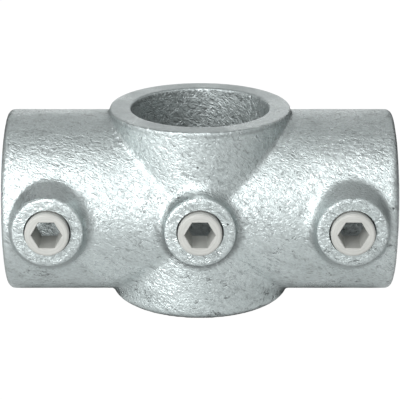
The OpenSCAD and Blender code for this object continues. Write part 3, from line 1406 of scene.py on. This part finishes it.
@dataclass(frozen=True)
class Card:
    """A plain grey card that shows in the metal but not to the camera.

    Attributes:
        name: Its name.
        place: Its middle, in metres.
        facing: Direction that it faces.
        size: Width and height in metres.
        grey: How light it is.
    """

    name: str
    place: tuple[float, float, float]
    facing: tuple[float, float, float]
    size: tuple[float, float]
    grey: float

    def build(self) -> bpy.types.Object:
        """Hangs the card.

        Returns:
            The card's object.
        """
        turn = Vector(self.facing).to_track_quat("Z", "Y")
        made = flat_panel(self.name, self.size, Vector(self.place), turn)
        paint, g, shader = new_paint(self.name)
        g.feed(shader["Base Color"], plain_grey(self.grey))
        g.feed(shader["Roughness"], MATT_ROUGHNESS)
        made.data.materials.append(paint)
        made.visible_camera = False
        return made


@dataclass(frozen=True)
class Floor:
    """The pale floor, painted dark under the fitting so that the metal mirrors shade there.

    Attributes:
        side: Its width in metres.
        grain: Darkest and lightest grey of its grain.
        shadow: Grey under the fitting.
        strip_x: Where the dark strip under the sockets starts and ends to fade along X, in metres.
        strip_y: The same across X, from the strip's middle.
        strip_back: How far behind the sockets' axis the strip's middle lies, in metres.
        sleeve_r: Where the dark ring under the sleeve starts and ends to fade outwards, in metres.
        bore_r: Where it starts and ends to darken from the bore outwards, in metres.
        bore_share: How dark it is inside the bore.
        seen_white: Share of plain white that the camera sees.
        mirrored_white: Share of plain white that the metal sees.
        glow: Strength of that white.
    """

    side: float = 5.0
    grain: tuple[float, float] = (0.58, 0.63)
    shadow: float = 0.06
    strip_x: tuple[float, float] = (0.054, 0.060)
    strip_y: tuple[float, float] = (0.014, 0.020)
    strip_back: float = 0.006
    sleeve_r: tuple[float, float] = (0.0265, 0.029)
    bore_r: tuple[float, float] = (0.0195, 0.0215)
    bore_share: float = 0.5
    seen_white: float = 0.95
    mirrored_white: float = 0.36
    glow: float = 1.07

    def under(self, g: Graph, at: Socket) -> Socket:
        """Adds the nodes that tell how far a point lies under the fitting.

        Args:
            g: The floor's graph.
            at: The point.

        Returns:
            The socket of the share, 1 under the fitting and 0 away from it.
        """
        x, y, _ = g.node("ShaderNodeSeparateXYZ", {0: at}).outputs
        ring = g.reach(x, y)
        across = g.math("ABSOLUTE", g.math("SUBTRACT", y, self.strip_back))
        strip = g.math("MULTIPLY", g.span(g.math("ABSOLUTE", x), *self.strip_x, 1.0, 0.0),
                       g.span(across, *self.strip_y, 1.0, 0.0))
        covered = g.math("MAXIMUM", strip, g.span(ring, *self.sleeve_r, 1.0, 0.0))
        return g.math("MULTIPLY", covered, g.span(ring, *self.bore_r, self.bore_share, 1.0))

    def build(self, height: float) -> bpy.types.Object:
        """Lays the floor.

        Args:
            height: Where its top lies, in metres.

        Returns:
            The floor's object.
        """
        made = flat_panel("floor", (self.side, self.side), Vector((0.0, 0.0, height)), Quaternion())
        paint, g, shader = new_paint("pale_floor")
        at = g.node("ShaderNodeTexCoord").outputs["Object"]
        under = self.under(g, at)
        pale = g.blend(g.noise(at, 900.0), *map(plain_grey, self.grain))
        g.feed(shader["Base Color"], g.blend(under, pale, plain_grey(self.shadow)))
        g.feed(shader["Roughness"], MATT_ROUGHNESS)
        path = g.node("ShaderNodeLightPath").outputs
        mirrored = g.math("MAXIMUM", path["Is Glossy Ray"], path["Is Transmission Ray"])
        glow = g.node("ShaderNodeEmission", {"Color": plain_grey(1.0), "Strength": self.glow})
        in_metal = g.math("MULTIPLY_ADD", under, -self.mirrored_white, self.mirrored_white)
        open_floor = g.math("MULTIPLY", mirrored, in_metal)
        share = g.math("MULTIPLY_ADD", path["Is Camera Ray"], self.seen_white, open_floor)
        nodes = paint.node_tree.nodes
        mix = g.node("ShaderNodeMixShader", {
            0: share, 1: nodes["Principled BSDF"].outputs[0], 2: glow.outputs[0]})
        g.feed(nodes["Material Output"].inputs[0], mix.outputs[0])
        made.data.materials.append(paint)
        return made


@dataclass
class Studio:
    """Floor, white surroundings, lamps and camera.

    Attributes:
        distance: Camera's distance from where the axes cross, in metres.
        elevation: Camera's height angle in degrees.
        tilt: How far below that point it looks, in degrees.
        focal_px: Focal length in pixels of a 400 pixel frame.
        frame_px: Width of the frame in pixels.
        ambient: Strength of the surroundings for soft light.
        floor: The floor.
        cards: Grey cards that the camera doesn't see.
        lamps: The lamps.
    """

    distance: float = 0.580
    elevation: float = 19.04
    tilt: float = 0.05
    focal_px: float = 1822.0
    frame_px: float = 400.0
    ambient: float = 0.74
    floor: Floor = Floor()
    cards: tuple[Card, ...] = (
        Card("ceiling_card", (0.0, 0.3, 0.45), (0.0, 0.0, -1.0), (1.6, 1.1), 0.95),
        Card("right_card", (0.42, -0.12, 0.05), (-1.0, 0.25, 0.0), (0.8, 0.4), 0.25),
        Card("left_card", (-0.5, -0.02, 0.33), (1.0, 0.0, -0.55), (0.6, 0.36), 0.24),
        Card("left_back_card", (-0.26, 0.29, 0.03), (0.67, -0.74, 0.0), (0.36, 0.22), 0.03),
        Card("right_back_card", (0.26, 0.29, 0.03), (-0.67, -0.74, 0.0), (0.36, 0.22), 0.03),
    )
    lamps: tuple[Lamp, ...] = (
        Lamp("key_lamp", -28.0, 24.0, 1.0, (0.95, 0.85), 9.1),
    )

    def surroundings(self) -> None:
        """Makes a white world that also shows in the metal."""
        world = bpy.data.worlds.new("white_surroundings")
        bpy.context.scene.world = world
        world.use_nodes = True
        g = Graph(world.node_tree)
        world.node_tree.nodes.clear()
        path = g.node("ShaderNodeLightPath").outputs
        mirrored = g.math("MAXIMUM", path["Is Glossy Ray"], path["Is Transmission Ray"])
        seen = g.math("MAXIMUM", path["Is Camera Ray"], mirrored)
        strength = g.math("MULTIPLY_ADD", seen, 1.0 - self.ambient, self.ambient)
        sky = g.node("ShaderNodeBackground", {"Color": plain_grey(1.0), "Strength": strength})
        out = g.node("ShaderNodeOutputWorld")
        g.feed(out.inputs[0], sky.outputs[0])

    def camera(self) -> bpy.types.Object:
        """Puts the camera where the photograph seems to have been taken.

        Returns:
            The camera's object.
        """
        data = bpy.data.cameras.new("camera")
        data.sensor_width = 36.0
        data.lens = self.focal_px / self.frame_px * data.sensor_width
        data.clip_start, data.clip_end = 0.01, 20.0
        made = add_object("camera", data)
        e = math.radians(self.elevation)
        made.location = (0.0, -self.distance * math.cos(e), self.distance * math.sin(e))
        made.rotation_euler = (math.pi / 2 - e - math.radians(self.tilt), 0.0, 0.0)
        bpy.context.scene.camera = made
        return made

    def build(self) -> None:
        """Makes everything round the fitting."""
        bpy.context.scene.view_settings.view_transform = "Standard"
        self.surroundings()
        self.floor.build(CAD_BOX[0].z)
        for card in self.cards:
            card.build()
        for lamp in self.lamps:
            lamp.build()
        self.camera()


def main() -> None:
    """Builds the fitting and its studio."""
    logging.basicConfig(level=logging.INFO, format="%(name)s: %(message)s")
    Studio().build()
    effects = Effects()
    body = CastBody()
    pieces = [body.build(effects)]
    pitch = body.shape.boss_x
    steel = TurnedSteel("turned_steel", pitch).material(effects)
    threader = SetScrew.threader()
    pieces += [SetScrew(place, pitch).build(threader, steel) for place in Place]
    for piece in pieces:
        piece.data.calc_loop_triangles()
        log.info("%s: %d triangles", piece.name, len(piece.data.loop_triangles))


if __name__ == "__main__":
    main()
